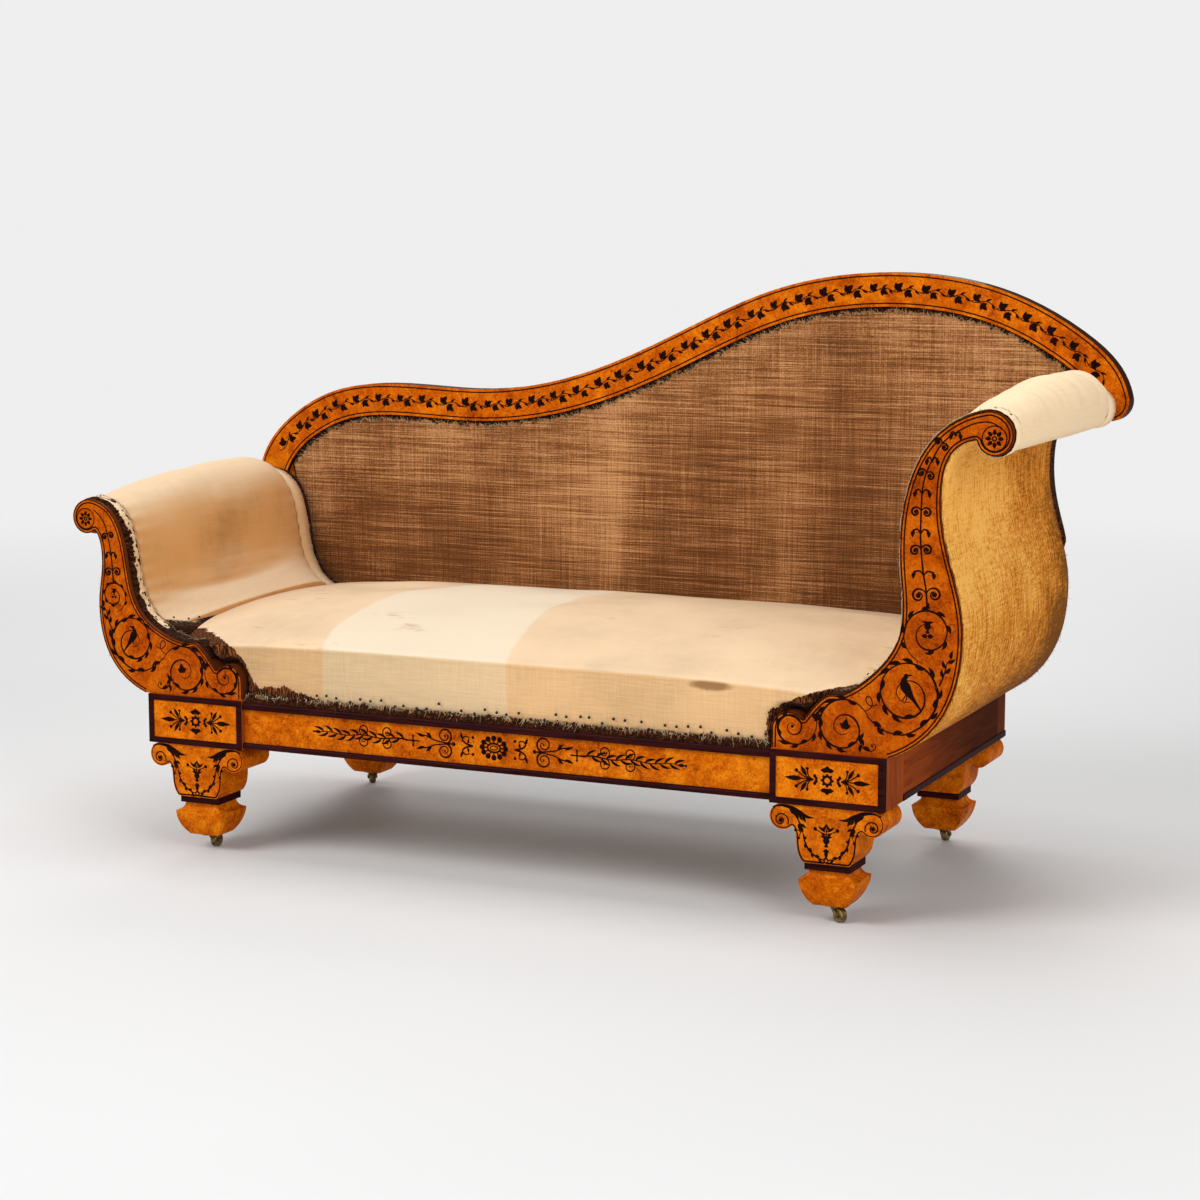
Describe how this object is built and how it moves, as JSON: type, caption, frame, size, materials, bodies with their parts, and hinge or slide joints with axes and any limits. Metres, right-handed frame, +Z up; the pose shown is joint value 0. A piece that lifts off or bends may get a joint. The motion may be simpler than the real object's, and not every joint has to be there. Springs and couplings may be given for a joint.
{
  "type": "meridienne",
  "caption": "Day bed with one low and one high scrolled arm, swept back rail, stuffed seat and scrolled feet on swivelling castors.",
  "frame": {"origin": "on the floor under the four castor wheels, in the middle of the whole object's length and depth", "axes": "+X along the seat towards the high arm, -Y out of the front, +Z up"},
  "size_m": [1.6785, 0.655, 0.983],
  "materials": {
    "burl_veneer": "french polished burl",
    "dark_inlay": "polished",
    "frame_wood": "plain, worn",
    "brass": "aged",
    "iron": "blued",
    "muslin": "plain weave cotton",
    "hessian": "coarse jute weave",
    "webbing": "jute webbing"
  },
  "bodies": {
    "frame": {"front_seat_rail": "burl_veneer", "front_left_block": "burl_veneer", "front_right_block": "burl_veneer", "crest_rail": "burl_veneer", "left_end_rail": "frame_wood", "right_end_rail": "frame_wood", "back_seat_rail": "frame_wood", "back_lower_rail": "frame_wood", "corner_braces": "frame_wood", "seat_stretcher": "frame_wood", "front_left_block_frame": "dark_inlay", "front_right_block_frame": "dark_inlay", "front_rail_top_moulding": "dark_inlay", "front_rail_bottom_moulding": "dark_inlay", "left_end_moulding": "dark_inlay", "right_end_moulding": "dark_inlay", "left_arm_front_board": "burl_veneer", "left_arm_back_board": "frame_wood", "left_arm_roll_bar": "frame_wood", "left_arm_pad": "muslin", "left_arm_outer_cover": "hessian", "right_arm_front_board": "burl_veneer", "right_arm_back_board": "frame_wood", "right_arm_roll_bar": "frame_wood", "right_arm_pad": "muslin", "right_arm_outer_cover": "hessian", "back_canvas": "hessian", "back_cover": "hessian", "seat_pad": "muslin", "seat_webbing": "webbing", "upholstery_tacks": "iron", "castor_screws": "iron", "front_left_foot_capital": "burl_veneer", "front_left_foot_collar": "dark_inlay", "front_left_foot_base": "burl_veneer", "front_left_castor_plate": "brass", "front_right_foot_capital": "burl_veneer", "front_right_foot_collar": "dark_inlay", "front_right_foot_base": "burl_veneer", "front_right_castor_plate": "brass", "back_left_foot_capital": "burl_veneer", "back_left_foot_collar": "dark_inlay", "back_left_foot_base": "burl_veneer", "back_left_castor_plate": "brass", "back_right_foot_capital": "burl_veneer", "back_right_foot_collar": "dark_inlay", "back_right_foot_base": "burl_veneer", "back_right_castor_plate": "brass"},
    "front_left_castor": {"front_left_castor_horn": "brass", "front_left_castor_axle": "brass"},
    "front_left_wheel": {"front_left_castor_wheel": "brass"},
    "front_right_castor": {"front_right_castor_horn": "brass", "front_right_castor_axle": "brass"},
    "front_right_wheel": {"front_right_castor_wheel": "brass"},
    "back_left_castor": {"back_left_castor_horn": "brass", "back_left_castor_axle": "brass"},
    "back_left_wheel": {"back_left_castor_wheel": "brass"},
    "back_right_castor": {"back_right_castor_horn": "brass", "back_right_castor_axle": "brass"},
    "back_right_wheel": {"back_right_castor_wheel": "brass"}
  },
  "joints": [
    {"name": "front_left_swivel", "type": "hinge", "parent": "frame", "child": "front_left_castor", "pos_m": [-0.5975, -0.282, 0.02], "axis": [0, 0, 1], "continuous": true},
    {"name": "front_left_roll", "type": "hinge", "parent": "front_left_castor", "child": "front_left_wheel", "pos_m": [-0.5975, -0.267, 0.012], "axis": [-1, 0, 0], "continuous": true},
    {"name": "front_right_swivel", "type": "hinge", "parent": "frame", "child": "front_right_castor", "pos_m": [0.5375, -0.282, 0.02], "axis": [0, 0, 1], "continuous": true},
    {"name": "front_right_roll", "type": "hinge", "parent": "front_right_castor", "child": "front_right_wheel", "pos_m": [0.54963, -0.29082, 0.012], "axis": [0.5878, 0.809, 0], "continuous": true},
    {"name": "back_left_swivel", "type": "hinge", "parent": "frame", "child": "back_left_castor", "pos_m": [-0.5975, 0.282, 0.02], "axis": [0, 0, 1], "continuous": true},
    {"name": "back_left_roll", "type": "hinge", "parent": "back_left_castor", "child": "back_left_wheel", "pos_m": [-0.60632, 0.29413, 0.012], "axis": [-0.809, -0.5878, 0], "continuous": true},
    {"name": "back_right_swivel", "type": "hinge", "parent": "frame", "child": "back_right_castor", "pos_m": [0.5375, 0.282, 0.02], "axis": [0, 0, 1], "continuous": true},
    {"name": "back_right_roll", "type": "hinge", "parent": "back_right_castor", "child": "back_right_wheel", "pos_m": [0.5375, 0.297, 0.012], "axis": [-1, 0, 0], "continuous": true}
  ]
}
